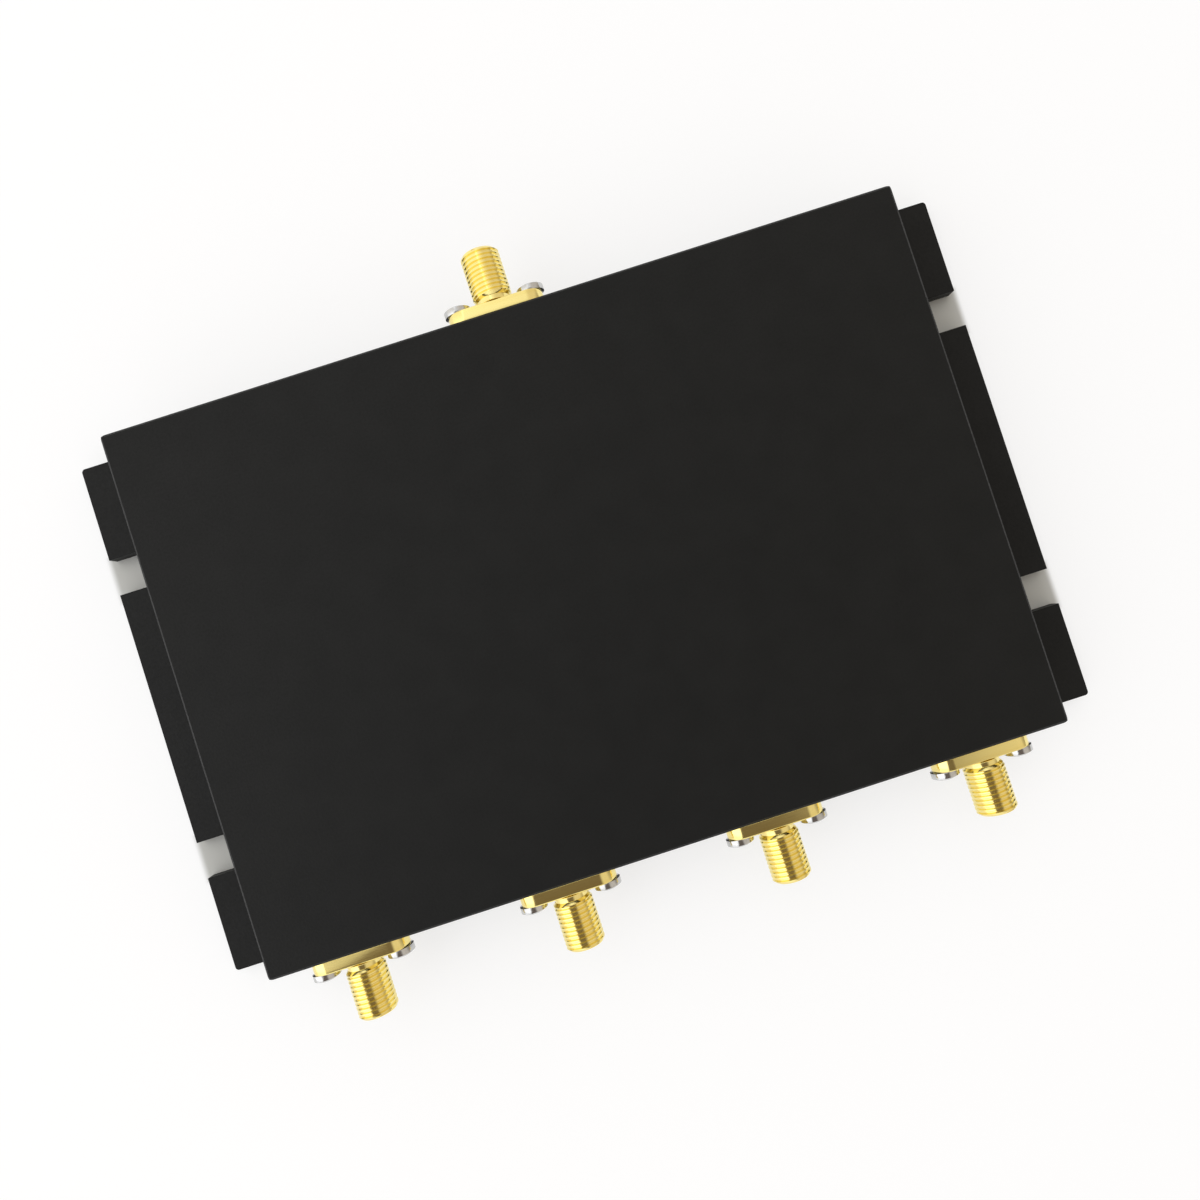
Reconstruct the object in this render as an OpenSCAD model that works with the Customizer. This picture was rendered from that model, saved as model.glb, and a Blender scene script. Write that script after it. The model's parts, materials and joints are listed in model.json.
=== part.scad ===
// Radio-frequency power splitter: one coaxial input jack, four coaxial output jacks.
// A milled tray stands open side down on a base plate whose ends are the mounting ears.
// Millimetres. Origin in the middle of the mounting face, X along the long side,
// Y towards the input jack, Z up.

/* [Housing] */
// Length of the tray along X
housing_length = 130; // [122:1:150]
// Width of the tray along Y, from jack face to jack face
housing_width = 88.5; // [82:0.5:110]
// Height of the tray above the base plate
housing_height = 12.5; // [11.5:0.5:20]
// Thickness of the two short walls
side_wall = 5; // [4.5:0.5:7]
// Thickness of the two long walls that carry the jacks
jack_wall = 6; // [5.5:0.5:8]
// Thickness of the plain face that closes the tray
roof_thick = 2.5; // [2:0.1:4]
// Radius of the tray's outer upright corners
housing_round = 0.8; // [0.4:0.1:1.5]
// Size of the chamfer round the plain face
edge_break = 0.4; // [0.2:0.1:0.8]
// Radius that the cutter leaves in the corners of the cavity
cavity_round = 3; // [1.5:0.5:4]

/* [Base plate] */
// Thickness of the base plate
plate_thick = 2.5; // [2:0.1:4]
// How far each mounting ear reaches past the tray
ear_reach = 10.5; // [9.5:0.5:14]
// Radius of the ears' outer corners
ear_round = 0.6; // [0.3:0.1:2.5]
// Width of the open mounting notches
notch_width = 6.2; // [5:0.1:7]
// Distance from an ear's outer edge to the centre of a notch's round end
notch_depth = 6; // [5:0.1:7]
// Distance between the two notches of one ear
notch_spacing = 50; // [40:1:60]

/* [Plate screws] */
// Thread diameter of the countersunk plate screws
plate_screw_d = 2.5; // [2:0.1:2.6]
// Head diameter of the plate screws
plate_screw_head_d = 4.7; // [4.2:0.1:5]
// Depth of the plate screws' conical heads
plate_screw_head_h = 1.3; // [1.1:0.1:1.5]
// Whole length of the plate screws
plate_screw_length = 7.5; // [6:0.1:8]
// Depth of the plate screws' heads below the mounting face
plate_screw_sink = 0.1; // [0.05:0.05:0.2]

/* [Jacks] */
// Distance from the outermost output jacks to the tray's ends
jack_margin = 13.55; // [12:0.05:16]
// Length of the jacks' flanges
flange_length = 15.8; // [15:0.1:17]
// Height of the jacks' flanges
flange_height = 5.7; // [5.2:0.1:6]
// Thickness of the jacks' flanges
flange_thick = 2.1; // [1.4:0.1:2.6]
// Distance from a flange's end to the centre of its screw hole
flange_hole_edge = 1.8; // [1.7:0.05:2.2]
// Diameter over the jacks' threads
thread_d = 6.35; // [6.2:0.05:6.5]
// Length of a jack in front of its flange
front_length = 8.7; // [8:0.1:11]
// Diameter of the neck between flange and thread
neck_d = 5.4; // [5:0.1:5.6]
// Length of the neck between flange and thread
neck_length = 0.9; // [0.6:0.1:2.4]
// Size of the thread's end chamfers
thread_chamfer = 0.4; // [0.2:0.05:0.5]
// Diameter of the opening that the mating plug enters
mouth_d = 4.65; // [4.5:0.05:4.8]
// Depth of that opening down to the insulator
mouth_depth = 1.93; // [1.7:0.01:2.2]
// Diameter of the insulators
insulator_d = 4.1; // [3.9:0.05:4.2]
// Diameter of the contacts inside the insulators
contact_d = 1.27; // [1.2:0.01:1.35]
// Diameter of the contacts' front sockets
socket_d = 0.94; // [0.9:0.01:1]
// Depth of the contacts' front sockets
socket_depth = 3; // [2.5:0.1:3.5]
// Width of the slots that make the socket springy
socket_slot = 0.2; // [0.15:0.01:0.3]
// How far a contact's front end stands back from its insulator's face
contact_recess = 0.1; // [0.05:0.05:0.25]
// Diameter of the contacts' rear solder pins
pin_d = 0.9; // [0.8:0.05:1]
// How far the solder pins reach into the cavity
pin_reach = 3; // [2.5:0.1:4]

/* [Flange screws] */
// Thread diameter of the flange screws
flange_screw_d = 2.5; // [2.2:0.1:2.5]
// Head diameter of the flange screws
flange_screw_head_d = 4.4; // [4:0.1:4.6]
// Head height of the flange screws
flange_screw_head_h = 1.6; // [1.2:0.1:2]
// Length of the flange screws under the head
flange_screw_length = 6; // [5:0.1:6.5]
// Clearance round a screw in the hole it passes through
screw_clearance = 0.1; // [0.05:0.05:0.15]
// Space left in a blind hole beyond a screw's tip
tip_space = 0.5; // [0.2:0.1:0.6]

/* [Board] */
// Thickness of the laminate
board_thick = 0.8; // [0.6:0.1:1.6]
// Gap between the board's edge and the cavity's walls
board_gap = 0.3; // [0.2:0.05:0.5]
// Thickness of the copper on both sides
copper_thick = 0.07; // [0.05:0.01:0.1]
// Width of the lines that join the dividers and the jacks
line_width = 2.2; // [1.6:0.1:2.6]
// Width of the dividers' ring arms
arm_width = 1.2; // [0.8:0.1:1.6]
// Middle radius of the first divider's ring
first_ring = 10; // [8:0.5:11]
// Middle radius of the second dividers' rings
second_ring = 8; // [6.5:0.5:9]
// Gap between a divider's two outputs, bridged by its resistor
output_gap = 2; // [1.6:0.1:2.4]
// Length of line between a ring and the cross line below it
ring_drop = 4; // [3:0.5:5]
// Length of a chip resistor
chip_length = 3.2; // [2.8:0.1:3.6]
// Width of a chip resistor
chip_width = 1.6; // [1.2:0.1:2]
// Thickness of a chip resistor
chip_thick = 0.55; // [0.4:0.05:0.7]
// Thickness of the solder between a contact's pin and its line
solder_film = 0.05; // [0.03:0.01:0.1]
// Radius of the solder beads round the contacts' pins
bead_radius = 0.9; // [0.7:0.05:1]

/* [Board screws] */
// Thread diameter of the board screws
board_screw_d = 2; // [1.6:0.1:2.2]
// Head diameter of the board screws
board_screw_head_d = 3.6; // [3:0.1:4]
// Head height of the board screws
board_screw_head_h = 1.3; // [1:0.1:1.6]
// Metal left between a board screw's hole and the plain face
roof_skin = 0.6; // [0.4:0.1:0.8]
// Distance of the board screws from the board's edge
board_screw_edge = 5; // [4:0.5:6]

/* [Hidden] */
$fn = 96;

black = [0.14, 0.145, 0.15];
gold = [0.85, 0.7, 0.32];
steel = [0.72, 0.73, 0.74];
copper = [0.78, 0.45, 0.3];

// Overlap that keeps a cut's end clear of the face it opens
cut = 1;
// How far a jack's bore runs on behind the wall's inner face
bore_runout = 0.1;

// Output jacks and the distance between neighbours
output_count = 4;
jack_pitch = (housing_length - 2 * jack_margin) / (output_count - 1);

// Levels, from the mounting face up
roof_z = plate_thick + housing_height - roof_thick;
foil_z = roof_z - copper_thick;
board_z = foil_z - board_thick;
line_z = board_z - copper_thick;
axis_z = line_z - solder_film - pin_d / 2;

// Cavity and board
cavity_length = housing_length - 2 * side_wall;
cavity_width = housing_width - 2 * jack_wall;
board_length = cavity_length - 2 * board_gap;
board_width = cavity_width - 2 * board_gap;

// Base plate
plate_length = housing_length + 2 * ear_reach;
notch_x = plate_length / 2 - notch_depth;

// Screws
plate_hole_d = plate_screw_d + 2 * screw_clearance;
plate_tap_depth = plate_screw_sink + plate_screw_length + tip_space - plate_thick;
flange_hole_d = flange_screw_d + 2 * screw_clearance;
flange_hole_x = flange_length / 2 - flange_hole_edge;
flange_tap_depth = flange_screw_length - flange_thick + tip_space;
board_hole_d = board_screw_d + 2 * screw_clearance;
board_tap_depth = roof_thick - roof_skin;
board_screw_length = board_thick + copper_thick + board_tap_depth - tip_space / 2;

// Parts of a screw head: height of its dome, length, width and depth of the cross recess
crown_share = 0.4;
recess_share = 0.55;
recess_width_share = 0.16;
recess_depth_share = 0.5;

// Where the screws stand
corner_screw_x = (housing_length - side_wall) / 2;
side_screw_y = (housing_width - jack_wall) / 2;
plate_screw_places = [
    for (x = [corner_screw_x, jack_pitch], sx = [-1, 1], sy = [-1, 1]) [sx * x, sy * side_screw_y],
    for (sx = [-1, 1]) [sx * corner_screw_x, 0]
];

// Jacks: the outputs are spread evenly between the two margins
tip_z = flange_thick + front_length;
seat_z = tip_z - mouth_depth;
contact_front_z = seat_z - contact_recess;
output_places = [for (i = [0:output_count - 1]) jack_margin - housing_length / 2 + i * jack_pitch];

// Divider tree: the straight runs at both ends take what the rings and cross lines leave
line_span = 2 * (first_ring + second_ring) + 3 * ring_drop;
end_run = (board_width - line_span) / 2;
first_y = board_width / 2 - end_run - first_ring;
first_cross_y = first_y - first_ring - ring_drop;
second_y = first_cross_y - ring_drop - second_ring;
second_cross_y = second_y - second_ring - ring_drop;
output_start = (output_gap + line_width) / 2;
board_screw_places = [
    for (s = [-1, 1]) [s * (board_length / 2 - board_screw_edge), board_width / 2 - board_screw_edge],
    for (s = [-1, 1]) [s * jack_pitch, board_screw_edge - board_width / 2],
    for (s = [-1, 1]) [s * jack_pitch / 2, second_y]
];

// A flat slab with round upright corners, standing on its own base
module slab(length, width, height, radius) {
    translate([-length / 2 + radius, -width / 2, 0])
        cube([length - 2 * radius, width, height]);
    translate([-length / 2, -width / 2 + radius, 0])
        cube([length, width - 2 * radius, height]);
    for (x = [-1, 1], y = [-1, 1])
        translate([x * (length / 2 - radius), y * (width / 2 - radius), 0])
            cylinder(r = radius, h = height);
}

// A flat bar with half-round ends, standing on its own base
module round_bar(length, width, height) {
    radius = width / 2;
    translate([radius - length / 2, -radius, 0])
        cube([length - width, width, height]);
    for (s = [-1, 1])
        translate([s * (length / 2 - radius), 0, 0])
            cylinder(r = radius, h = height);
}

// A slab whose upper edges are chamfered, cut from the slab by its two end profiles
module chamfered_slab(length, width, height, radius, chamfer) {
    intersection() {
        slab(length, width, height, radius);
        rotate([90, 0, 0])
            linear_extrude(width, center = true)
                chamfered_profile(length, height, chamfer);
        rotate([90, 0, 90])
            linear_extrude(length, center = true)
                chamfered_profile(width, height, chamfer);
    }
}

module chamfered_profile(width, height, chamfer) {
    half = width / 2;
    polygon([[-half, 0], [half, 0], [half, height - chamfer], [half - chamfer, height],
             [chamfer - half, height], [-half, height - chamfer]]);
}

// A pan-head screw: domed head on Z = 0 upwards, shank downwards, cross recess in the head
module pan_screw(thread_d, head_d, head_h, length) {
    rim_h = head_h * (1 - crown_share);
    dome_z = (head_h * head_h - rim_h * rim_h - head_d * head_d / 4) / (2 * (head_h - rim_h));
    difference() {
        union() {
            intersection() {
                cylinder(d = head_d, h = head_h);
                translate([0, 0, dome_z])
                    sphere(r = head_h - dome_z);
            }
            translate([0, 0, -length])
                cylinder(d = thread_d, h = length);
        }
        cross_recess(head_d, head_h);
    }
}

// The two crossed slots of a driver recess, sunk from the top of a head
module cross_recess(head_d, top_z) {
    depth = top_z * recess_depth_share;
    for (turn = [0, 90])
        rotate(turn)
            translate([-head_d * recess_share / 2, -head_d * recess_width_share / 2, top_z - depth])
                cube([head_d * recess_share, head_d * recess_width_share, depth + cut]);
}

// Puts a jack's parts on the wall: their Z points out of the box, their Y points up
module at_input() {
    translate([0, housing_width / 2, axis_z])
        rotate([90, 0, 180])
            children();
}

module at_output(number) {
    translate([output_places[number - 1], -housing_width / 2, axis_z])
        rotate([90, 0, 0])
            children();
}

module at_every_jack() {
    at_input()
        children();
    for (number = [1:output_count])
        at_output(number)
            children();
}

module at_flange_holes() {
    for (s = [-1, 1])
        translate([s * flange_hole_x, 0, 0])
            children();
}

// Tray with the jacks' bores and all tapped holes
module housing() {
    color(black)
    difference() {
        translate([0, 0, plate_thick])
            chamfered_slab(housing_length, housing_width, housing_height, housing_round, edge_break);
        translate([0, 0, plate_thick - cut])
            slab(cavity_length, cavity_width, roof_z - plate_thick + cut, cavity_round);
        at_every_jack() {
            translate([0, 0, -jack_wall - bore_runout])
                cylinder(d = insulator_d, h = jack_wall + bore_runout + cut);
            at_flange_holes()
                translate([0, 0, -flange_tap_depth])
                    cylinder(d = flange_screw_d, h = flange_tap_depth + cut);
        }
        for (p = plate_screw_places)
            translate([p[0], p[1], plate_thick - cut])
                cylinder(d = plate_screw_d, h = plate_tap_depth + cut);
        for (p = board_screw_places)
            translate([p[0], p[1], roof_z - cut])
                cylinder(d = board_screw_d, h = board_tap_depth + cut);
    }
}

// Flat plate that closes the tray, with two open notches in each ear
module base_plate() {
    color(black)
    difference() {
        slab(plate_length, housing_width, plate_thick, ear_round);
        for (x = [-1, 1], y = [-1, 1])
            translate([x * notch_x, y * notch_spacing / 2, -cut]) {
                cylinder(d = notch_width, h = plate_thick + 2 * cut);
                translate([x > 0 ? 0 : -notch_depth - cut, -notch_width / 2, 0])
                    cube([notch_depth + cut, notch_width, plate_thick + 2 * cut]);
            }
        for (p = plate_screw_places)
            translate([p[0], p[1], 0]) {
                translate([0, 0, -cut])
                    cylinder(d = plate_hole_d, h = plate_thick + 2 * cut);
                countersink(cut);
            }
    }
}

// Cone of a countersunk head, with a straight rim down to the mounting face and past it
module countersink(past) {
    rim = plate_screw_head_d / 2;
    rotate_extrude()
        polygon([[0, -past], [rim, -past], [rim, plate_screw_sink],
                 [plate_screw_d / 2, plate_screw_sink + plate_screw_head_h],
                 [0, plate_screw_sink + plate_screw_head_h]]);
}

// Countersunk screws that hold the base plate to the tray
module plate_screws() {
    shank = plate_screw_length - plate_screw_head_h;
    color(steel)
    for (p = plate_screw_places)
        translate([p[0], p[1], plate_screw_sink])
            difference() {
                union() {
                    rotate_extrude()
                        polygon([[0, 0], [plate_screw_head_d / 2, 0],
                                 [plate_screw_d / 2, plate_screw_head_h], [0, plate_screw_head_h]]);
                    translate([0, 0, plate_screw_head_h])
                        cylinder(d = plate_screw_d, h = shank);
                }
                rotate([180, 0, 0])
                    translate([0, 0, -plate_screw_head_h])
                        cross_recess(plate_screw_head_d, plate_screw_head_h);
            }
}

// One layer of the board, as wide as the cavity lets it be, with its screw holes
module board_layer(height) {
    difference() {
        slab(board_length, board_width, height, cavity_round);
        for (p = board_screw_places)
            translate([p[0], p[1], -cut])
                cylinder(d = board_hole_d, h = height + 2 * cut);
    }
}

// Copper ground side of the board, against the tray
module ground_foil() {
    color(copper)
    translate([0, 0, foil_z])
        board_layer(copper_thick);
}

// Laminate of the board
module board() {
    color([0.86, 0.83, 0.72])
    translate([0, 0, board_z])
        board_layer(board_thick);
}

// A straight line between two points that share X or Y, square at both ends
module line(from, to) {
    low = [min(from[0], to[0]), min(from[1], to[1])];
    high = [max(from[0], to[0]), max(from[1], to[1])];
    size = high - low + [from[0] == to[0] ? line_width : 0, from[1] == to[1] ? line_width : 0];
    translate([(low[0] + high[0] - size[0]) / 2, (low[1] + high[1] - size[1]) / 2, 0])
        cube([size[0], size[1], copper_thick]);
}

// A mitred bend centred on a point; along and across say where its two lines come from
module bend(at, along, across) {
    half = line_width / 2;
    translate([at[0], at[1], 0])
        linear_extrude(copper_thick)
            polygon([[along * half, across * half], [along * half, -across * half],
                     [-along * half, across * half]]);
}

// A route down from one point, across at cross_y and down to another, with mitred bends
module route(from, cross_y, to) {
    way = to[0] > from[0] ? 1 : -1;
    half = line_width / 2;
    line(from, [from[0], cross_y + half]);
    bend([from[0], cross_y], way, 1);
    line([from[0] + way * half, cross_y], [to[0] - way * half, cross_y]);
    bend([to[0], cross_y], -way, -1);
    line([to[0], cross_y - half], to);
}

// One divider: a ring fed at the top, open at the bottom between its two outputs
module divider(centre, radius, feed_y, reach_x, cross_y, end_y) {
    inner = radius - arm_width / 2;
    outer = radius + arm_width / 2;
    line([centre[0], feed_y], [centre[0], centre[1] + radius]);
    translate([centre[0], centre[1], 0])
        difference() {
            cylinder(r = outer, h = copper_thick);
            translate([0, 0, -cut])
                cylinder(r = inner, h = copper_thick + 2 * cut);
            translate([-output_gap / 2, -outer - cut, -cut])
                cube([output_gap, outer, copper_thick + 2 * cut]);
        }
    for (s = [-1, 1])
        route([centre[0] + s * output_start, centre[1] - radius],
              cross_y, [centre[0] + s * reach_x, end_y]);
}

// Etched lines: one divider feeds two more, and those feed the four outputs
module copper_lines() {
    second_feed_y = second_y + second_ring + ring_drop / 2;
    color(copper)
    translate([0, 0, line_z]) {
        divider([0, first_y], first_ring, board_width / 2, jack_pitch, first_cross_y, second_feed_y);
        for (s = [-1, 1])
            divider([s * jack_pitch, second_y], second_ring, second_feed_y,
                    jack_pitch / 2, second_cross_y, -board_width / 2);
    }
}

// Chip resistors that bridge the dividers' outputs
module resistors() {
    places = [[0, first_y - first_ring], [-jack_pitch, second_y - second_ring],
              [jack_pitch, second_y - second_ring]];
    color([0.1, 0.1, 0.1])
    for (p = places)
        translate([p[0] - chip_length / 2, p[1] - chip_width - arm_width / 2, line_z - chip_thick])
            cube([chip_length, chip_width, chip_thick]);
}

// Screws that press the board against the tray
module board_screws() {
    color(steel)
    for (p = board_screw_places)
        translate([p[0], p[1], board_z])
            rotate([180, 0, 0])
                pan_screw(board_screw_d, board_screw_head_d, board_screw_head_h, board_screw_length);
}

// Solder round each contact's pin, flat on the copper line
module solder_beads() {
    start = jack_wall + board_gap + bead_radius / 2;
    length = pin_reach - board_gap - bead_radius / 2;
    color([0.75, 0.75, 0.76])
    at_every_jack()
        difference() {
            translate([0, 0, -start - length])
                cylinder(r = bead_radius, h = length);
            translate([0, 0, -start - length - cut])
                cylinder(d = pin_d, h = length + 2 * cut);
            translate([-bead_radius, pin_d / 2 + solder_film, -start - length - cut])
                cube([2 * bead_radius, bead_radius, length + 2 * cut]);
        }
}

// Jack body: flange, neck, threaded barrel and the stepped bore for plug and insulator
module shell() {
    thread_r = thread_d / 2;
    thread_z = flange_thick + neck_length;
    color(gold)
    difference() {
        union() {
            round_bar(flange_length, flange_height, flange_thick);
            rotate_extrude()
                polygon([[0, 0], [neck_d / 2, 0], [neck_d / 2, thread_z],
                         [thread_r - thread_chamfer, thread_z], [thread_r, thread_z + thread_chamfer],
                         [thread_r, tip_z - thread_chamfer], [thread_r - thread_chamfer, tip_z],
                         [0, tip_z]]);
        }
        translate([0, 0, -cut])
            cylinder(d = insulator_d, h = tip_z + 2 * cut);
        translate([0, 0, seat_z])
            cylinder(d = mouth_d, h = mouth_depth + cut);
        at_flange_holes()
            translate([0, 0, -cut])
                cylinder(d = flange_hole_d, h = flange_thick + 2 * cut);
    }
}

// Insulator from the jack's mouth through the wall
module insulator() {
    color([0.93, 0.93, 0.9])
    difference() {
        translate([0, 0, -jack_wall])
            cylinder(d = insulator_d, h = jack_wall + seat_z);
        translate([0, 0, -jack_wall - cut])
            cylinder(d = contact_d, h = jack_wall + seat_z + 2 * cut);
    }
}

// Contact with a slotted socket in front and a solder pin behind
module contact() {
    color(gold)
    difference() {
        union() {
            translate([0, 0, -jack_wall])
                cylinder(d = contact_d, h = jack_wall + contact_front_z);
            translate([0, 0, -jack_wall - pin_reach])
                cylinder(d = pin_d, h = pin_reach);
        }
        translate([0, 0, contact_front_z - socket_depth])
            cylinder(d = socket_d, h = socket_depth + cut);
        for (turn = [0, 90])
            rotate(turn)
                translate([-contact_d, -socket_slot / 2, contact_front_z - socket_depth])
                    cube([2 * contact_d, socket_slot, socket_depth + cut]);
    }
}

// Pan-head screws through the flanges into the tray's walls
module flange_screws() {
    color(steel)
    at_every_jack()
        at_flange_holes()
            translate([0, 0, flange_thick])
                pan_screw(flange_screw_d, flange_screw_head_d, flange_screw_head_h, flange_screw_length);
}

housing();
base_plate();
plate_screws();
ground_foil();
board();
copper_lines();
resistors();
board_screws();
solder_beads();
at_input() shell();  // input_shell
at_input() insulator();  // input_insulator
at_input() contact();  // input_contact
at_output(1) shell();  // output_1_shell
at_output(1) insulator();  // output_1_insulator
at_output(1) contact();  // output_1_contact
at_output(2) shell();  // output_2_shell
at_output(2) insulator();  // output_2_insulator
at_output(2) contact();  // output_2_contact
at_output(3) shell();  // output_3_shell
at_output(3) insulator();  // output_3_insulator
at_output(3) contact();  // output_3_contact
at_output(4) shell();  // output_4_shell
at_output(4) insulator();  // output_4_insulator
at_output(4) contact();  // output_4_contact
flange_screws();
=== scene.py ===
"""RF power splitter: its looks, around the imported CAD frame.

Lengths are in millimetres until they go into a mesh, a material or an object, which are in metres.
"""

import json
from math import cos, pi, radians, sin, sqrt

import bmesh
import bpy
from mathutils import Matrix, Vector


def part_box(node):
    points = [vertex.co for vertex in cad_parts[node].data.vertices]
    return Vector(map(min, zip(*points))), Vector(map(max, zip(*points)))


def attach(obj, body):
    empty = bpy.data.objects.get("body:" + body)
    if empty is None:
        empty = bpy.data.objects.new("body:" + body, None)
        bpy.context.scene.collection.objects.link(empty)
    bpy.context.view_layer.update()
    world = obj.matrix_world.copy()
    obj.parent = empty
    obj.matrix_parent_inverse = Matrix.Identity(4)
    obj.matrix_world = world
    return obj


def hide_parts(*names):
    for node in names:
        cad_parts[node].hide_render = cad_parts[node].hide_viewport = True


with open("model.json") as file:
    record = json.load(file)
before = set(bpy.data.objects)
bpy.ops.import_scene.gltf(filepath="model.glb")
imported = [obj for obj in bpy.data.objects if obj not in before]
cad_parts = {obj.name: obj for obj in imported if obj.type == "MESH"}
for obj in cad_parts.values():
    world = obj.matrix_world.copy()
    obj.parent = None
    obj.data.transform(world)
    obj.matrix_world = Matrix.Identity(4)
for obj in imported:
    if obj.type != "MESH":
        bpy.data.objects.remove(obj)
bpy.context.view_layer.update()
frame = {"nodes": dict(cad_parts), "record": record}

MM = 0.001
INCH = 25.4

# Steps round a jack's axis, a flange's hole and a screw, along a half-round end, over a soft edge
# and over a screw's dome
SEGMENTS = 96
HOLE_SEGMENTS = 48
SCREW_SEGMENTS = 48
END_STEPS = 32
EDGE_STEPS = 4
DOME_STEPS = 8

# Points this close are one: where rings meet, on an edge without length, and in a screw after its cut
WELD = 1e-4
NO_LENGTH = 1e-5
SLIVER = 0.002

# Faces that turn by less than this are shaded as one surface
SMOOTH_ANGLE = radians(32)

# Camera: close above the top face, as wide as the photograph's perspective
CAMERA_PLACE = Vector((0.26, -6.85, 150.59)) * MM
CAMERA_BACK = Vector((-0.0091, -0.0211, 0.9997))
CAMERA_UP = Vector((0.3064, 0.9516, 0.0228))
CAMERA_LENS = 26.22
CAMERA_SENSOR = 36.0
CAMERA_CLIP = 5

# Jack body, along its own axis from the wall outwards; its reach and its thread come from the frame
SHELL_SIZE = [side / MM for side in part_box("input_shell")[1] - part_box("input_shell")[0]]
FLANGE_LENGTH = SHELL_SIZE[0]
FLANGE_HEIGHT = 5.7
FLANGE_THICK = 2.1
FLANGE_EDGE = 0.25
HOLE_X = 6.1
HOLE_RADIUS = 1.35
HOLE_EDGE = 0.15
NECK_RADIUS = 2.7
NECK_FILLET = 0.25
NECK_END = 3.0
THREAD_RADIUS = SHELL_SIZE[2] / 2
THREADS_PER_INCH = 36
THREAD_PITCH = INCH / THREADS_PER_INCH
THREAD_DEPTH = 0.3
THREAD_CHAMFER = 0.4
TIP_END = SHELL_SIZE[1]
MOUTH_RADIUS = 2.325
MOUTH_CHAMFER = 0.15
MOUTH_DEPTH = 1.93
SEAT_END = TIP_END - MOUTH_DEPTH
BORE_RADIUS = 2.05

# One pitch of the thread: share of the pitch and share of the depth
THREAD_SHAPE = ((0.0, 0.0), (0.32, 0.0), (0.57, 1.0), (0.75, 1.0))
# Turns of the helix beyond those that the barrel's length holds; they are cut off at its ends
THREAD_SPARE = 3

# Screws: head radius, rim height, head height, shank radius, shank length; then the tip's chamfer
FLANGE_SCREW = {"head": 2.2, "rim": 0.96, "height": 1.6, "shank": 1.25, "length": 6.0}
PLATE_SCREW = {"head": 2.35, "height": 1.3, "shank": 1.25, "length": 6.2}
SCREW_TIP = 0.3
# A flat head's widest circle lies this far inside and below its edge, and its rim is this wide
FLAT_SINK = 0.02
FLAT_RIM = 0.1
# Edges that turn by more than the angle are softened
SCREW_EDGE = 0.06
SCREW_EDGE_STEPS = 2
SCREW_EDGE_ANGLE = radians(40)
# Cross recess: reach of its arms, their width, its depth, and the share of its size at the bottom
RECESS_REACH = 1.25
RECESS_WIDTH = 0.72
RECESS_DEPTH = 0.85
RECESS_TAPER = 0.55

# Degrees that the screws are turned by: at first, from jack to jack and to either side of a jack,
# and from one plate screw to the next
FLANGE_SCREW_TURN = 25
FLANGE_SCREW_JACK_TURN = 41
FLANGE_SCREW_SIDE_TURN = 17
PLATE_SCREW_TURN = 37

JACKS = ("input", "output_1", "output_2", "output_3", "output_4")

# Noise: its detail in clouds and in grain, and the span that its values mostly keep to
CLOUD_DETAIL = 3.0
GRAIN_DETAIL = 2.0
NOISE_SPAN = (0.3, 0.7)

# Matt black coat: colours, clouds and grains in a metre, depth of the grain and softness of the edges
BLACK_LOW = (0.005, 0.0055, 0.0055)
BLACK_HIGH = (0.007, 0.0075, 0.0075)
# Lighter colour along the edges: partly wear, partly a painted highlight
BLACK_WEAR_AND_SHEEN = (0.011, 0.011, 0.011)
BLACK_CLOUD = 180
BLACK_GRAIN = 2600
BLACK_DEPTH = 0.03
BLACK_ROUGH = (0.5, 0.64)
BLACK_SPECULAR = 0.24
BLACK_EDGE = 0.09
# Edges are painted lighter, partly as wear and partly as a painted highlight, where an edge turns its
# normal away, by the cosine, and where the clouds are high
WEAR_AND_SHEEN_TURN = (0.995, 0.8)
WEAR_AND_SHEEN_CLOUD = (0.35, 0.7)

# Glass weave: colours, how closely and how unevenly it is woven, and its depth
WEAVE_LOW = (0.52, 0.47, 0.33)
WEAVE_HIGH = (0.66, 0.61, 0.47)
WEAVE_SCALE = 900
WEAVE_WANDER = 0.6
WEAVE_DETAIL = 1.0
WEAVE_DEPTH = 0.02
WEAVE_ROUGH = 0.55

# Stretch of the grain on turned pieces, whose marks run round the axis
ROUND_Y = (0.04, 1, 0.04)
ROUND_Z = (0.04, 0.04, 1)

# Grained finishes: colours, roughness, clouds and grains in a metre, depth of the grain
GOLD = {"low": (0.94, 0.77, 0.27), "high": (0.98, 0.84, 0.35), "rough": (0.11, 0.18),
        "cloud": 900, "grain": 7000, "depth": 0.002, "Metallic": 1.0}
GRAINED = {
    "gold_plate": {**GOLD, "stretch": ROUND_Z},
    "gold_contact": {**GOLD, "stretch": ROUND_Y},
    "screw_steel": {"low": (0.52, 0.52, 0.51), "high": (0.66, 0.66, 0.65), "rough": (0.10, 0.2),
                    "cloud": 900, "grain": 5000, "depth": 0.005, "Metallic": 1.0},
    "ptfe": {"low": (0.78, 0.77, 0.74), "high": (0.86, 0.86, 0.84), "rough": (0.4, 0.55),
             "cloud": 700, "grain": 5000, "depth": 0.006, "stretch": (1, 2, 1),
             "Subsurface_Weight": 0.15, "Subsurface_Scale": 0.6 * MM},
    "copper": {"low": (0.66, 0.33, 0.20), "high": (0.80, 0.45, 0.30), "rough": (0.25, 0.45),
               "cloud": 300, "grain": 4000, "depth": 0.004, "Metallic": 1.0},
    "chip": {"low": (0.014, 0.014, 0.015), "high": (0.030, 0.030, 0.032), "rough": (0.35, 0.5),
             "cloud": 1500, "grain": 6000, "depth": 0.004},
    "solder": {"low": (0.55, 0.55, 0.55), "high": (0.70, 0.70, 0.69), "rough": (0.2, 0.4),
               "cloud": 1200, "grain": 4000, "depth": 0.01, "Metallic": 1.0},
}

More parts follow.
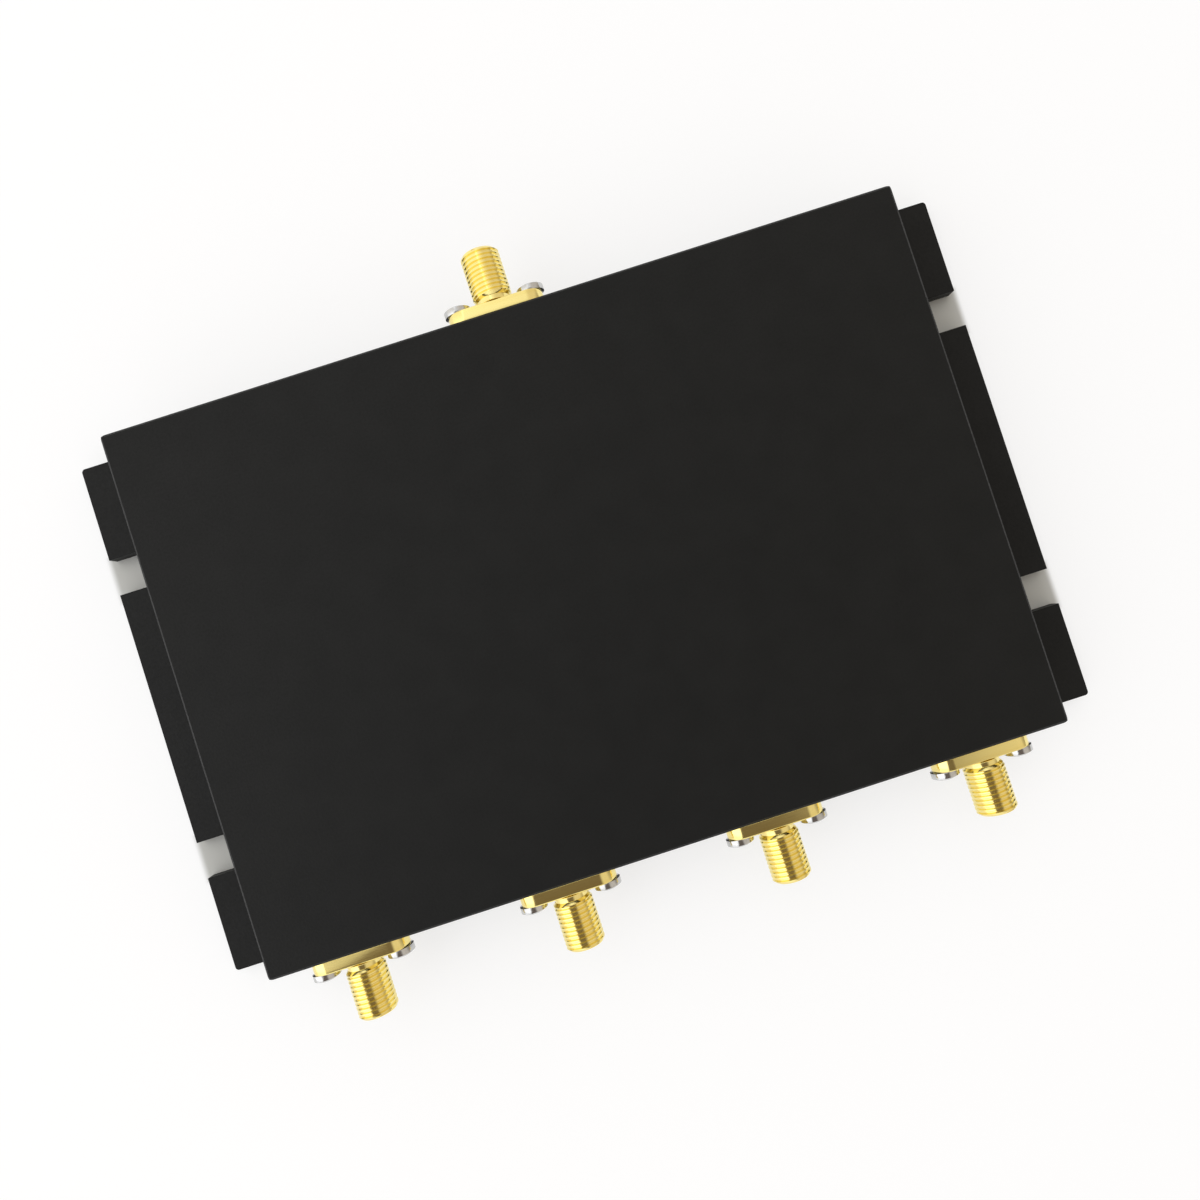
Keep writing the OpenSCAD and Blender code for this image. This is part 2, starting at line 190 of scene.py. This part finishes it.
# Finish of each CAD node that is kept as it is
CAD_FINISH = {
    "housing": "black_finish", "base_plate": "black_finish", "ground_foil": "copper",
    "board": "laminate", "copper_lines": "copper", "resistors": "chip",
    "board_screws": "screw_steel", "solder_beads": "solder",
}
for jack in JACKS:
    CAD_FINISH[jack + "_insulator"] = "ptfe"
    CAD_FINISH[jack + "_contact"] = "gold_contact"

# Floor: its size, its colour, and the glow that makes it look white where it is seen
FLOOR_RADIUS = 4000
FLOOR_SEGMENTS = 64
FLOOR_ROUGH = 0.9
FLOOR_COLOUR = (0.37, 0.375, 0.384)
FLOOR_GLOW = 0.671
# Its painted shade in the notches, a grey colour in place of the shadow that the box and ears cast there:
# how far it reaches past the ears, and how wide its soft edge is
FLOOR_NOTCH_PAINTED_SHADE = (0.63, 0.64, 0.62)
FLOOR_NOTCH_REACH = 2.0
FLOOR_NOTCH_EDGE = 1.5

# Soft studio surroundings, by direction: bright towards -X, weaker towards +X, weakest at its horizon
SKY_BRIGHT = (1.23, 1.26, 1.29)
SKY_WEAK = (0.78, 0.71, 0.62)
SKY_TURN = (-0.35, 0.5)
SKY_RIM = (0.36, 0.32, 0.27)
SKY_RIM_TURN = (0.80, 1.02)

# Laid over them: a brighter panel low on the near left, a dimmer far left and a dark ceiling over the
# near side. Each edge fades in from the first to the second of its values of the direction's X or Y
SKY_PATCHES = (
    {"colour": (1.35, 1.35, 1.38),
     "left_right": ((-1.1, -1.0), (-0.45, -0.55)), "near_far": ((-0.75, -0.6), (0.2, 0.0))},
    {"colour": (0.66, 0.62, 0.56),
     "left_right": ((-1.2, -1.1), (-0.10, -0.35)), "near_far": ((-0.05, 0.45), (1.2, 1.1))},
    {"colour": (0.18, 0.145, 0.12),
     "left_right": ((-0.52, -0.40), (0.45, 0.12)), "near_far": ((-0.8, -0.6), (0.24, 0.02))},
)

# Softbox: its place and side, and its power in watts
KEY_PLACE = Vector((-500, 160, 360)) * MM
KEY_SIZE = 1000
KEY_POWER = 1.5


# Meshes

def circle(radius, z, x=0.0, count=SEGMENTS):
    turns = [2 * pi * i / count for i in range(count)]
    return [(x + radius * cos(t), radius * sin(t), z) for t in turns]


def round_bar(length, height, inset, z):
    """Outline of a bar with half-round ends, drawn in by the inset."""
    radius = height / 2
    points = []
    for end, side in enumerate((1, -1)):
        for step in range(END_STEPS + 1):
            t = (end + step / END_STEPS - 0.5) * pi
            points.append((side * (length / 2 - radius) + (radius - inset) * cos(t),
                           (radius - inset) * sin(t), z))
    return points


def quarter_round(radius):
    """Points over a soft edge, from face to side: how far in from the side, how far below the face."""
    return [(radius * (1 - sin(t)), radius * (1 - cos(t)))
            for t in (pi / 2 * i / EDGE_STEPS for i in range(EDGE_STEPS + 1))]


def add_ring(bm, points):
    return [bm.verts.new(p) for p in points]


def bridge(bm, rings):
    """Joins rings of equal count, one after the other, with quads."""
    for a, b in zip(rings, rings[1:]):
        for i in range(len(a)):
            j = (i + 1) % len(a)
            bm.faces.new((a[i], a[j], b[j], b[i]))


def fill(bm, *rings):
    """Fills the flat area between an outer ring and the rings inside it."""
    edges = []
    for ring in rings:
        for a, b in zip(ring, ring[1:] + ring[:1]):
            edges.append(bm.edges.get((a, b)) or bm.edges.new((a, b)))
    bmesh.ops.triangle_fill(bm, use_beauty=True, edges=edges)


def shade(mesh):
    mesh.shade_smooth()
    mesh.set_sharp_from_angle(angle=SMOOTH_ANGLE)


def mesh_from(bm, name):
    """Closes up a mesh drawn in millimetres and returns it in metres."""
    bmesh.ops.remove_doubles(bm, verts=bm.verts, dist=WELD)
    bmesh.ops.dissolve_degenerate(bm, dist=NO_LENGTH, edges=bm.edges)
    bmesh.ops.recalc_face_normals(bm, faces=bm.faces)
    bmesh.ops.scale(bm, vec=(MM, MM, MM), verts=bm.verts)
    mesh = bpy.data.meshes.new(name)
    bm.to_mesh(mesh)
    bm.free()
    shade(mesh)
    return mesh


def add_object(name, data, place=Matrix.Identity(4)):
    made = bpy.data.objects.new(name, data)
    bpy.context.scene.collection.objects.link(made)
    made.matrix_world = place
    return made


# Jack bodies

def thread_envelope(z):
    """Largest radius that the two end chamfers leave at this height."""
    inside = min(z - NECK_END, TIP_END - z, THREAD_CHAMFER)
    return THREAD_RADIUS - THREAD_CHAMFER + inside


def thread_columns():
    """Points of the thread, one column for each step round the axis. Each row follows the helix."""
    turns = int((TIP_END - NECK_END) / THREAD_PITCH) + THREAD_SPARE
    columns = []
    for i in range(SEGMENTS):
        turn = i / SEGMENTS
        column = []
        for k in range(turns):
            for share, depth in THREAD_SHAPE:
                z = NECK_END + THREAD_PITCH * (k - 1 + turn + share)
                z = min(max(z, NECK_END), TIP_END)
                r = min(THREAD_RADIUS - THREAD_DEPTH * depth, thread_envelope(z))
                if z in (NECK_END, TIP_END):
                    r = THREAD_RADIUS - THREAD_CHAMFER
                column.append((r * cos(2 * pi * turn), r * sin(2 * pi * turn), z))
        columns.append(column)
    return columns


def add_thread(bm):
    """The threaded surface. After the last column, each row goes on one turn higher up."""
    columns = [add_ring(bm, c) for c in thread_columns()]
    rows = len(columns[0])
    for i, column in enumerate(columns):
        last = i + 1 == SEGMENTS
        following = columns[0] if last else columns[i + 1]
        lift = len(THREAD_SHAPE) if last else 0
        for j in range(rows - 1 - lift):
            bm.faces.new((column[j], following[j + lift], following[j + 1 + lift], column[j + 1]))


def shell_mesh():
    """Jack body: flange with two holes, neck, thread, mouth and bore, as one closed surface."""
    bm = bmesh.new()
    edge = quarter_round(FLANGE_EDGE)
    rims = [(i, FLANGE_THICK - d) for i, d in edge] + [(i, d) for i, d in reversed(edge)]
    outline = [add_ring(bm, round_bar(FLANGE_LENGTH, FLANGE_HEIGHT, i, z)) for i, z in rims]
    bridge(bm, outline)
    holes = []
    for x in (-HOLE_X, HOLE_X):
        rims = [(HOLE_RADIUS + i, FLANGE_THICK - d) for i, d in quarter_round(HOLE_EDGE)]
        rims.append((HOLE_RADIUS, 0.0))
        holes.append([add_ring(bm, circle(r, z, x, HOLE_SEGMENTS)) for r, z in rims])
        bridge(bm, holes[-1])
    neck = [(NECK_RADIUS + d, FLANGE_THICK + i) for i, d in reversed(quarter_round(NECK_FILLET))]
    neck += [(NECK_RADIUS, NECK_END), (THREAD_RADIUS - THREAD_CHAMFER, NECK_END)]
    neck_rings = [add_ring(bm, circle(r, z)) for r, z in neck]
    bridge(bm, neck_rings)
    add_thread(bm)
    mouth = [(THREAD_RADIUS - THREAD_CHAMFER, TIP_END), (MOUTH_RADIUS + MOUTH_CHAMFER, TIP_END),
             (MOUTH_RADIUS, TIP_END - MOUTH_CHAMFER), (MOUTH_RADIUS, SEAT_END),
             (BORE_RADIUS, SEAT_END), (BORE_RADIUS, 0.0)]
    mouth_rings = [add_ring(bm, circle(r, z)) for r, z in mouth]
    bridge(bm, mouth_rings)
    fill(bm, outline[0], neck_rings[0], *(h[0] for h in holes))
    fill(bm, outline[-1], mouth_rings[-1], *(h[-1] for h in holes))
    return mesh_from(bm, "shell")


# Screws

def shank_profile(size, head_z):
    """Outline of a screw's shank, from its chamfered tip up to the head."""
    tip_z = head_z - size["length"]
    return [(0, tip_z), (size["shank"] - SCREW_TIP, tip_z),
            (size["shank"], tip_z + SCREW_TIP), (size["shank"], head_z)]


def pan_profile(size):
    """Outline of a pan-head screw, from the shank's tip to the top of the dome."""
    head, rim, height = size["head"], size["rim"], size["height"]
    middle = (height ** 2 - rim ** 2 - head ** 2) / (2 * (height - rim))
    across = [head * i / DOME_STEPS for i in range(DOME_STEPS, -1, -1)]
    dome = [(r, middle + sqrt((height - middle) ** 2 - r ** 2)) for r in across]
    return shank_profile(size, 0) + [(head, 0)] + dome


def flat_profile(size):
    """Outline of a countersunk screw, from the shank's tip to the flat head."""
    head = [(size["head"] - FLAT_SINK, -FLAT_SINK), (size["head"] - FLAT_RIM, 0), (0, 0)]
    return shank_profile(size, -size["height"]) + head


def lathe(profile, name):
    """Closed body turned about Z; the profile starts and ends on the axis."""
    bm = bmesh.new()
    rings = [add_ring(bm, circle(r, z, count=SCREW_SEGMENTS)) for r, z in profile]
    bridge(bm, rings)
    return mesh_from(bm, name)


def recess_cutter(top, name):
    """Tapered cross that a driver's tip fits, sunk below the given height."""
    bm = bmesh.new()
    a, w = RECESS_REACH, RECESS_WIDTH / 2
    outline = ((a, -w), (a, w), (w, w), (w, a), (-w, a), (-w, w), (-a, w), (-a, -w),
               (-w, -w), (-w, -a), (w, -a), (w, -w))
    slope = (1 - RECESS_TAPER) / RECESS_DEPTH
    rings = []
    for z in (-RECESS_DEPTH, RECESS_DEPTH):
        size = 1 + slope * z
        rings.append(add_ring(bm, [(x * size, y * size, top + z) for x, y in outline]))
    bridge(bm, rings)
    for ring in rings:
        bm.faces.new(ring)
    return mesh_from(bm, name)


def drop_slivers(mesh):
    """Merges the points that a cut or a bevel leaves on top of each other."""
    bm = bmesh.new()
    bm.from_mesh(mesh)
    bmesh.ops.triangulate(bm, faces=[f for f in bm.faces if len(f.verts) > 4])
    bmesh.ops.remove_doubles(bm, verts=bm.verts, dist=SLIVER * MM)
    bmesh.ops.dissolve_degenerate(bm, dist=SLIVER * MM, edges=bm.edges)
    bm.to_mesh(mesh)
    bm.free()


def screw_mesh(profile, top, name):
    """Turned screw with a driver recess and soft edges."""
    body = add_object(name + "_blank", lathe(profile, name + "_blank"))
    cutter = add_object(name + "_cutter", recess_cutter(top, name + "_cutter"))
    cut = body.modifiers.new("recess", "BOOLEAN")
    cut.operation = "DIFFERENCE"
    cut.solver = "EXACT"
    cut.object = cutter
    soften = body.modifiers.new("soften", "BEVEL")
    soften.width = SCREW_EDGE * MM
    soften.segments = SCREW_EDGE_STEPS
    soften.limit_method = "ANGLE"
    soften.angle_limit = SCREW_EDGE_ANGLE
    bpy.context.view_layer.update()
    graph = bpy.context.evaluated_depsgraph_get()
    mesh = bpy.data.meshes.new_from_object(body.evaluated_get(graph))
    mesh.name = name
    drop_slivers(mesh)
    shade(mesh)
    for spare in (body, cutter):
        old = spare.data
        bpy.data.objects.remove(spare)
        bpy.data.meshes.remove(old)
    return mesh


def join_copies(name, mesh, places):
    """One mesh with a copy of the given one at each place."""
    bm = bmesh.new()
    for place in places:
        first = len(bm.verts)
        bm.from_mesh(mesh)
        bm.verts.ensure_lookup_table()
        bmesh.ops.transform(bm, matrix=place, verts=bm.verts[first:])
    made = bpy.data.meshes.new(name)
    bm.to_mesh(made)
    bm.free()
    shade(made)
    return made


# Material nodes

def new_material(name, **sockets):
    """A Principled material with its plain sockets set; returns it with its tree and shader."""
    made = bpy.data.materials.new(name)
    made.use_nodes = True
    shader = made.node_tree.nodes["Principled BSDF"]
    for key, value in sockets.items():
        shader.inputs[key.replace("_", " ")].default_value = value
    return made, made.node_tree, shader


def add_node(tree, kind, **sockets):
    made = tree.nodes.new(kind)
    for key, value in sockets.items():
        made.inputs[key.replace("_", " ")].default_value = value
    return made


def feed(tree, value, socket):
    """Links another node's output to a socket, or sets the socket to a plain value."""
    if isinstance(value, bpy.types.NodeSocket):
        tree.links.new(value, socket)
    else:
        socket.default_value = value


def object_coordinates(tree, stretch=(1, 1, 1)):
    place = add_node(tree, "ShaderNodeTexCoord")
    scale = add_node(tree, "ShaderNodeMapping", Scale=stretch)
    tree.links.new(place.outputs["Object"], scale.inputs["Vector"])
    return scale.outputs["Vector"]


def noise(tree, coordinates, scale, detail):
    made = add_node(tree, "ShaderNodeTexNoise", Scale=scale, Detail=detail)
    tree.links.new(coordinates, made.inputs["Vector"])
    return made.outputs["Fac"]


def ramp(tree, factor, low, high):
    """Colour that goes from low to high over the noise's span."""
    made = tree.nodes.new("ShaderNodeValToRGB")
    for stop, position, colour in zip(made.color_ramp.elements, NOISE_SPAN, (low, high)):
        stop.position = position
        stop.color = (*colour, 1)
    tree.links.new(factor, made.inputs["Fac"])
    return made.outputs["Color"]


def spread(tree, factor, low, high):
    """Value that goes from low to high over the noise's span."""
    start, end = NOISE_SPAN
    made = add_node(tree, "ShaderNodeMapRange", From_Min=start, From_Max=end, To_Min=low, To_Max=high)
    tree.links.new(factor, made.inputs["Value"])
    return made.outputs["Result"]


def soft_step(tree, value, start, end):
    """Share that rises softly from 0 at the start to 1 at the end."""
    made = add_node(tree, "ShaderNodeMapRange", From_Min=start, From_Max=end)
    made.interpolation_type = "SMOOTHSTEP"
    tree.links.new(value, made.inputs["Value"])
    return made.outputs["Result"]


def bump(tree, height, shader, depth, normal=None):
    """Relief of the given depth, on the plain surface or on another normal."""
    made = add_node(tree, "ShaderNodeBump", Distance=depth * MM)
    tree.links.new(height, made.inputs["Height"])
    if normal is not None:
        tree.links.new(normal, made.inputs["Normal"])
    tree.links.new(made.outputs["Normal"], shader.inputs["Normal"])


def maths(tree, operation, first, second):
    made = tree.nodes.new("ShaderNodeMath")
    made.operation = operation
    feed(tree, first, made.inputs[0])
    feed(tree, second, made.inputs[1])
    return made.outputs["Value"]


def vector_maths(tree, operation, first, second=None):
    made = tree.nodes.new("ShaderNodeVectorMath")
    made.operation = operation
    feed(tree, first, made.inputs[0])
    if second is not None:
        feed(tree, second, made.inputs[1])
    return made


def split(tree, vector):
    made = tree.nodes.new("ShaderNodeSeparateXYZ")
    tree.links.new(vector, made.inputs["Vector"])
    return made.outputs


def mix_colour(tree, factor, under, over):
    """Lays a colour over another one, or over a link, where the factor is 1."""
    made = tree.nodes.new("ShaderNodeMixRGB")
    tree.links.new(factor, made.inputs["Fac"])
    feed(tree, (*under, 1) if isinstance(under, tuple) else under, made.inputs["Color1"])
    feed(tree, (*over, 1), made.inputs["Color2"])
    return made.outputs["Color"]


# Materials

def grained(name, low, high, rough, cloud, grain, depth, stretch=(1, 1, 1), **sockets):
    """Finish with cloudy colour, uneven gloss and a fine grain in relief."""
    made, tree, shader = new_material(name, **sockets)
    coordinates = object_coordinates(tree, stretch)
    clouds = noise(tree, coordinates, cloud, CLOUD_DETAIL)
    fine = noise(tree, coordinates, grain, GRAIN_DETAIL)
    tree.links.new(ramp(tree, clouds, low, high), shader.inputs["Base Color"])
    tree.links.new(spread(tree, fine, *rough), shader.inputs["Roughness"])
    bump(tree, fine, shader, depth)
    return made


def anodised(name):
    """Matt black coat on blasted metal: fine grain, soft edges, and a lighter colour along them that is
    partly wear and partly a painted highlight.
    """
    made, tree, shader = new_material(name, Specular_IOR_Level=BLACK_SPECULAR)
    coordinates = object_coordinates(tree)
    clouds = noise(tree, coordinates, BLACK_CLOUD, CLOUD_DETAIL)
    fine = noise(tree, coordinates, BLACK_GRAIN, GRAIN_DETAIL)
    edge = add_node(tree, "ShaderNodeBevel", Radius=BLACK_EDGE * MM).outputs["Normal"]
    face = tree.nodes.new("ShaderNodeNewGeometry").outputs["True Normal"]
    turned = vector_maths(tree, "DOT_PRODUCT", edge, face).outputs["Value"]
    # Lighter edges: partly wear, partly a painted highlight on the edge breaks
    wear_and_sheen = maths(tree, "MULTIPLY", soft_step(tree, turned, *WEAR_AND_SHEEN_TURN),
                   soft_step(tree, clouds, *WEAR_AND_SHEEN_CLOUD))
    coat = ramp(tree, clouds, BLACK_LOW, BLACK_HIGH)
    tree.links.new(mix_colour(tree, wear_and_sheen, coat, BLACK_WEAR_AND_SHEEN), shader.inputs["Base Color"])
    tree.links.new(spread(tree, fine, *BLACK_ROUGH), shader.inputs["Roughness"])
    bump(tree, fine, shader, BLACK_DEPTH, edge)
    return made


def woven(name):
    """Glass weave under resin: two crossed waves."""
    made, tree, shader = new_material(name, Roughness=WEAVE_ROUGH)
    coordinates = object_coordinates(tree)
    waves = []
    for direction in ("X", "Y"):
        wave = add_node(tree, "ShaderNodeTexWave", Scale=WEAVE_SCALE, Distortion=WEAVE_WANDER,
                        Detail=WEAVE_DETAIL)
        wave.bands_direction = direction
        tree.links.new(coordinates, wave.inputs["Vector"])
        waves.append(wave.outputs["Fac"])
    cross = maths(tree, "MULTIPLY", *waves)
    tree.links.new(ramp(tree, cross, WEAVE_LOW, WEAVE_HIGH), shader.inputs["Base Color"])
    bump(tree, cross, shader, WEAVE_DEPTH)
    return made


def make_materials():
    made = {name: grained(name, **values) for name, values in GRAINED.items()}
    made["black_finish"] = anodised("black_finish")
    made["laminate"] = woven("laminate")
    return made


# Pieces

def paint(made, material):
    made.data.materials.clear()
    made.data.materials.append(material)


def dress(made, material):
    """Gives a new piece its material, and lets it ride on the part."""
    paint(made, material)
    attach(made, "root")


def jack_place(node):
    """Matrix of a jack: Z out of the box, Y up, origin on the wall."""
    lo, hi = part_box(node)
    middle = (lo + hi) / 2
    side = 1 if middle.y > 0 else -1
    wall = lo.y if side > 0 else hi.y
    return Matrix(((-side, 0, 0, middle.x), (0, 0, side, wall), (0, 1, 0, middle.z), (0, 0, 0, 1)))


def islands(node):
    """Middle of each separate solid of a CAD node, seen along Z."""
    bm = bmesh.new()
    bm.from_mesh(frame["nodes"][node].data)
    bmesh.ops.remove_doubles(bm, verts=bm.verts, dist=WELD * MM)
    left, places = set(bm.verts), []
    while left:
        group, todo = set(), [left.pop()]
        while todo:
            vert = todo.pop()
            group.add(vert)
            for edge in vert.link_edges:
                other = edge.other_vert(vert)
                if other in left:
                    left.remove(other)
                    todo.append(other)
        xs, ys = [v.co.x for v in group], [v.co.y for v in group]
        places.append(((min(xs) + max(xs)) / 2, (min(ys) + max(ys)) / 2))
    bm.free()
    return places


def make_shells(material):
    mesh = shell_mesh()
    for jack in JACKS:
        node = jack + "_shell"
        made = add_object(jack + "_jack", mesh.copy(), jack_place(node))
        dress(made, material)
        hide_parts(node)


def make_flange_screws(material):
    mesh = screw_mesh(pan_profile(FLANGE_SCREW), FLANGE_SCREW["height"], "pan_screw")
    places = []
    for index, jack in enumerate(JACKS):
        wall = jack_place(jack + "_shell")
        for side in (-1, 1):
            seat = Matrix.Translation(Vector((side * HOLE_X, 0, FLANGE_THICK)) * MM)
            angle = FLANGE_SCREW_TURN + FLANGE_SCREW_JACK_TURN * index + FLANGE_SCREW_SIDE_TURN * side
            places.append(wall @ seat @ Matrix.Rotation(radians(angle), 4, "Z"))
    made = add_object("flange_pan_screws", join_copies("flange_pan_screws", mesh, places))
    dress(made, material)
    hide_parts("flange_screws")


def make_plate_screws(material):
    mesh = screw_mesh(flat_profile(PLATE_SCREW), 0.0, "flat_screw")
    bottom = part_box("plate_screws")[0].z
    flip = Matrix.Rotation(pi, 4, "X")
    places = []
    for index, (x, y) in enumerate(sorted(islands("plate_screws"))):
        turn = Matrix.Rotation(radians(PLATE_SCREW_TURN * index), 4, "Z")
        places.append(Matrix.Translation((x, y, bottom)) @ flip @ turn)
    made = add_object("plate_flat_screws", join_copies("plate_flat_screws", mesh, places))
    dress(made, material)
    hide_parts("plate_screws")


def dress_cad(materials):
    for node, finish in CAD_FINISH.items():
        paint(frame["nodes"][node], materials[finish])


# Stage

def make_camera():
    data = bpy.data.cameras.new("camera")
    data.lens = CAMERA_LENS
    data.sensor_width = CAMERA_SENSOR
    data.clip_start = CAMERA_CLIP * MM
    back = CAMERA_BACK.normalized()
    right = CAMERA_UP.cross(back).normalized()
    up = back.cross(right)
    turn = Matrix((right, up, back)).transposed().to_4x4()
    bpy.context.scene.camera = add_object("camera", data, Matrix.Translation(CAMERA_PLACE) @ turn)


def mount(name):
    return next(m for m in frame["record"]["mounts"] if m["name"] == name)


def outside_painted_notch_shade(tree):
    """Share of the floor that lies clear of the painted shade in the four notches, which are alike on all
    sides.
    """
    notch = mount("notch_right_far")
    middle = (0, notch["pos_m"][1], 0)
    reach = (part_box("base_plate")[1].x + FLOOR_NOTCH_REACH * MM,
             (notch["dims"]["r_mm"] + FLOOR_NOTCH_EDGE) * MM, 0)
    away = vector_maths(tree, "ABSOLUTE", object_coordinates(tree)).outputs["Vector"]
    away = vector_maths(tree, "SUBTRACT", away, middle).outputs["Vector"]
    away = vector_maths(tree, "ABSOLUTE", away).outputs["Vector"]
    parts = split(tree, vector_maths(tree, "SUBTRACT", away, reach).outputs["Vector"])
    outside = maths(tree, "MAXIMUM", parts["X"], parts["Y"])
    return soft_step(tree, outside, -FLOOR_NOTCH_EDGE * MM, 0.0)


def make_floor():
    """Pale floor: it keeps the shadow, looks white where nothing shades it, and has shade painted grey in
    the notches, where its glow is left out too.
    """
    bm = bmesh.new()
    bmesh.ops.create_circle(bm, cap_ends=True, segments=FLOOR_SEGMENTS, radius=FLOOR_RADIUS)
    made = add_object("floor", mesh_from(bm, "floor"))
    material, tree, shader = new_material("floor", Roughness=FLOOR_ROUGH, Specular_IOR_Level=0.0,
                                          Emission_Color=(1, 1, 1, 1))
    # Painted shade: grey colour in the notches in place of the shadow there, and no glow there
    outside = outside_painted_notch_shade(tree)
    tree.links.new(mix_colour(tree, outside, FLOOR_NOTCH_PAINTED_SHADE, FLOOR_COLOUR), shader.inputs["Base Color"])
    path = tree.nodes.new("ShaderNodeLightPath")
    seen = maths(tree, "MAXIMUM", path.outputs["Is Camera Ray"], path.outputs["Is Glossy Ray"])
    seen = maths(tree, "MAXIMUM", seen, path.outputs["Is Transmission Ray"])
    seen = maths(tree, "MULTIPLY", seen, outside)
    tree.links.new(maths(tree, "MULTIPLY", seen, FLOOR_GLOW), shader.inputs["Emission Strength"])
    paint(made, material)


def patch(tree, parts, left_right, near_far):
    """Share of a soft-edged rectangle of directions."""
    share = None
    for axis, edges in (("X", left_right), ("Y", near_far)):
        for edge in edges:
            step = soft_step(tree, parts[axis], *edge)
            share = step if share is None else maths(tree, "MULTIPLY", share, step)
    return share


def make_sky():
    world = bpy.data.worlds.new("surroundings")
    world.use_nodes = True
    tree = world.node_tree
    parts = split(tree, tree.nodes.new("ShaderNodeTexCoord").outputs["Generated"])
    colour = mix_colour(tree, soft_step(tree, parts["X"], *SKY_TURN), SKY_BRIGHT, SKY_WEAK)
    colour = mix_colour(tree, soft_step(tree, parts["X"], *SKY_RIM_TURN), colour, SKY_RIM)
    for laid in SKY_PATCHES:
        share = patch(tree, parts, laid["left_right"], laid["near_far"])
        colour = mix_colour(tree, share, colour, laid["colour"])
    tree.links.new(colour, tree.nodes["Background"].inputs["Color"])
    bpy.context.scene.world = world


def make_key():
    """Softbox on the far left, facing the part."""
    data = bpy.data.lights.new("key", "AREA")
    data.size = KEY_SIZE * MM
    data.energy = KEY_POWER
    made = add_object("key", data)
    made.location = KEY_PLACE
    made.rotation_euler = (-KEY_PLACE).to_track_quat("-Z", "Y").to_euler()


def main():
    bpy.context.scene.view_settings.view_transform = "Standard"
    make_camera()
    make_floor()
    make_sky()
    make_key()
    materials = make_materials()
    dress_cad(materials)
    make_shells(materials["gold_plate"])
    make_flange_screws(materials["screw_steel"])
    make_plate_screws(materials["screw_steel"])


main()
